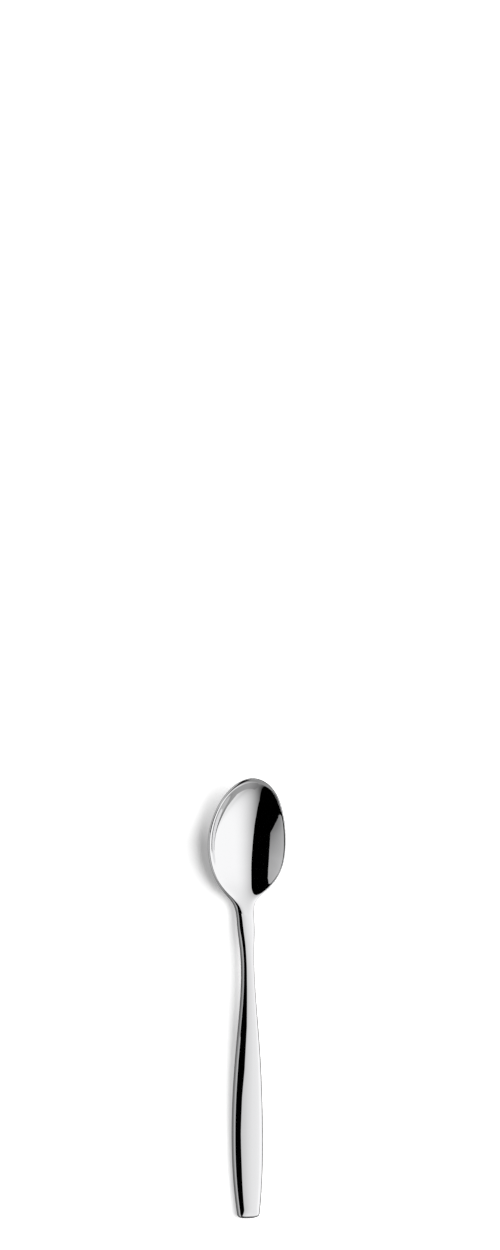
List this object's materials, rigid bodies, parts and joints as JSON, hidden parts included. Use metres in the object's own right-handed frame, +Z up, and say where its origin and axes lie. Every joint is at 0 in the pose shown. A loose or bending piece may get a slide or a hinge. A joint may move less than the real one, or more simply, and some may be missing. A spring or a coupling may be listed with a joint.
{
  "type": "liqueur spoon",
  "caption": "Small mirror-polished steel spoon with a shallow egg-shaped bowl, a slim neck and a gently arched handle that widens towards a blunt end.",
  "frame": {"origin": "on the resting surface, under the middle of the spoon's length and width as it lies on its back", "axes": "+Z up out of the bowl, +Y along the spoon towards the bowl's tip, X across the spoon"},
  "size_m": [0.0224, 0.1112, 0.0086],
  "materials": {
    "polished_steel": "mirror-polished stainless steel"
  },
  "bodies": {
    "root": {"spoon": "polished_steel"}
  },
  "joints": []
}
